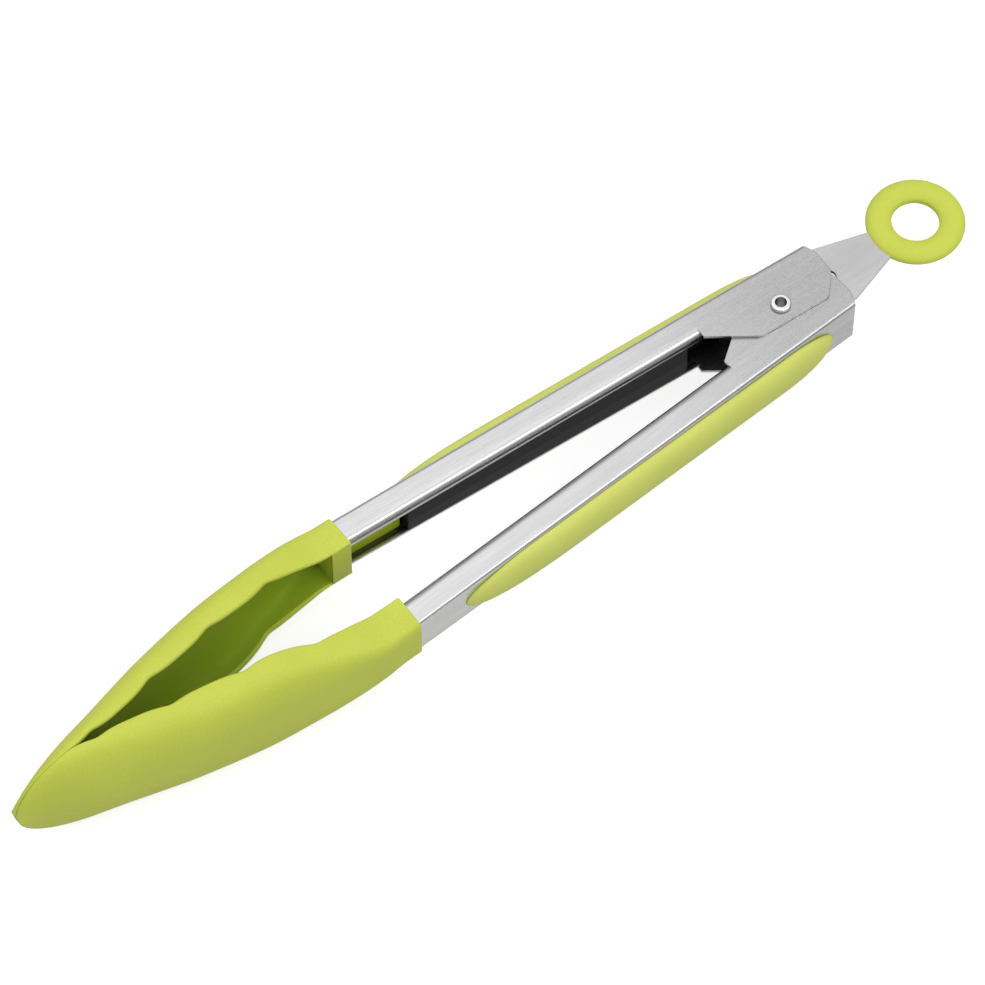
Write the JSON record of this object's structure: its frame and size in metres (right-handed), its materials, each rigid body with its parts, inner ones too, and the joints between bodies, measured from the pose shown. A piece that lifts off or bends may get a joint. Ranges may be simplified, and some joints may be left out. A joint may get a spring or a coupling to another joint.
{
  "type": "spring loaded kitchen tongs",
  "caption": "Locking spring tongs with channel steel arms, soft grip pads, wavy-rimmed silicone scoop heads, a pull-out lock tab and a hanging ring, shown shut and locked.",
  "frame": {"origin": "centre of the hollow pivot rivet, halfway between the outer arm's two cheeks", "axes": "+Z along the pivot axis, up through the cheek that the lock tab lies under; +X from the pivot to the hanging ring; the heads reach towards -X, the outer arm is on the +Y side"},
  "size_m": [0.3377, 0.0468, 0.0376],
  "materials": {
    "arm_steel": "brushed along its length, bright bends",
    "black_plastic": "satin black moulding",
    "grip_rubber": "matte soft touch, yellow green",
    "head_silicone": "matte silicone, lime with a fine speckle",
    "core_nylon": "moulded nylon, green",
    "rivet_steel": "plain",
    "eyelet_steel": "bright, rolled rims",
    "bush_steel": "turned",
    "spring_steel": "drawn wire",
    "tab_steel": "satin grey sheet",
    "ring_silicone": "matte silicone, lime"
  },
  "bodies": {
    "pivot": {"pivot_rivet": "eyelet_steel", "pivot_bush": "bush_steel", "torsion_spring": "spring_steel"},
    "outer_arm": {"upper_arm": "arm_steel", "upper_insert": "black_plastic", "upper_grip": "grip_rubber", "upper_head": "head_silicone", "upper_head_core": "core_nylon", "upper_head_rivet": "rivet_steel"},
    "inner_arm": {"lower_arm": "arm_steel", "lower_insert": "black_plastic", "lower_grip": "grip_rubber", "lower_head": "head_silicone", "lower_head_core": "core_nylon", "lower_head_rivet": "rivet_steel"},
    "lock": {"lock_tab": "tab_steel", "hang_ring": "ring_silicone"}
  },
  "joints": [
    {"name": "outer_arm_hinge", "type": "hinge", "parent": "pivot", "child": "outer_arm", "pos_m": [0, 0, 0], "axis": [0, 0, -1], "range_deg": [0, 12], "stiffness_Nm_per_rad": 0.3, "springref_deg": 34.38},
    {"name": "inner_arm_hinge", "type": "hinge", "parent": "pivot", "child": "inner_arm", "pos_m": [0, 0, 0], "axis": [0, 0, 1], "range_deg": [0, 12], "stiffness_Nm_per_rad": 0.3, "springref_deg": 34.38},
    {"name": "lock_slide", "type": "slide", "parent": "pivot", "child": "lock", "axis": [-1, 0, 0], "range_m": [0, 0.0151]}
  ],
  "couplings": [
    {"joint": "inner_arm_hinge", "follows": "outer_arm_hinge", "ratio": 1},
    {"joint": "lock_slide", "follows": "outer_arm_hinge", "m_per_rad": 0.0716}
  ]
}
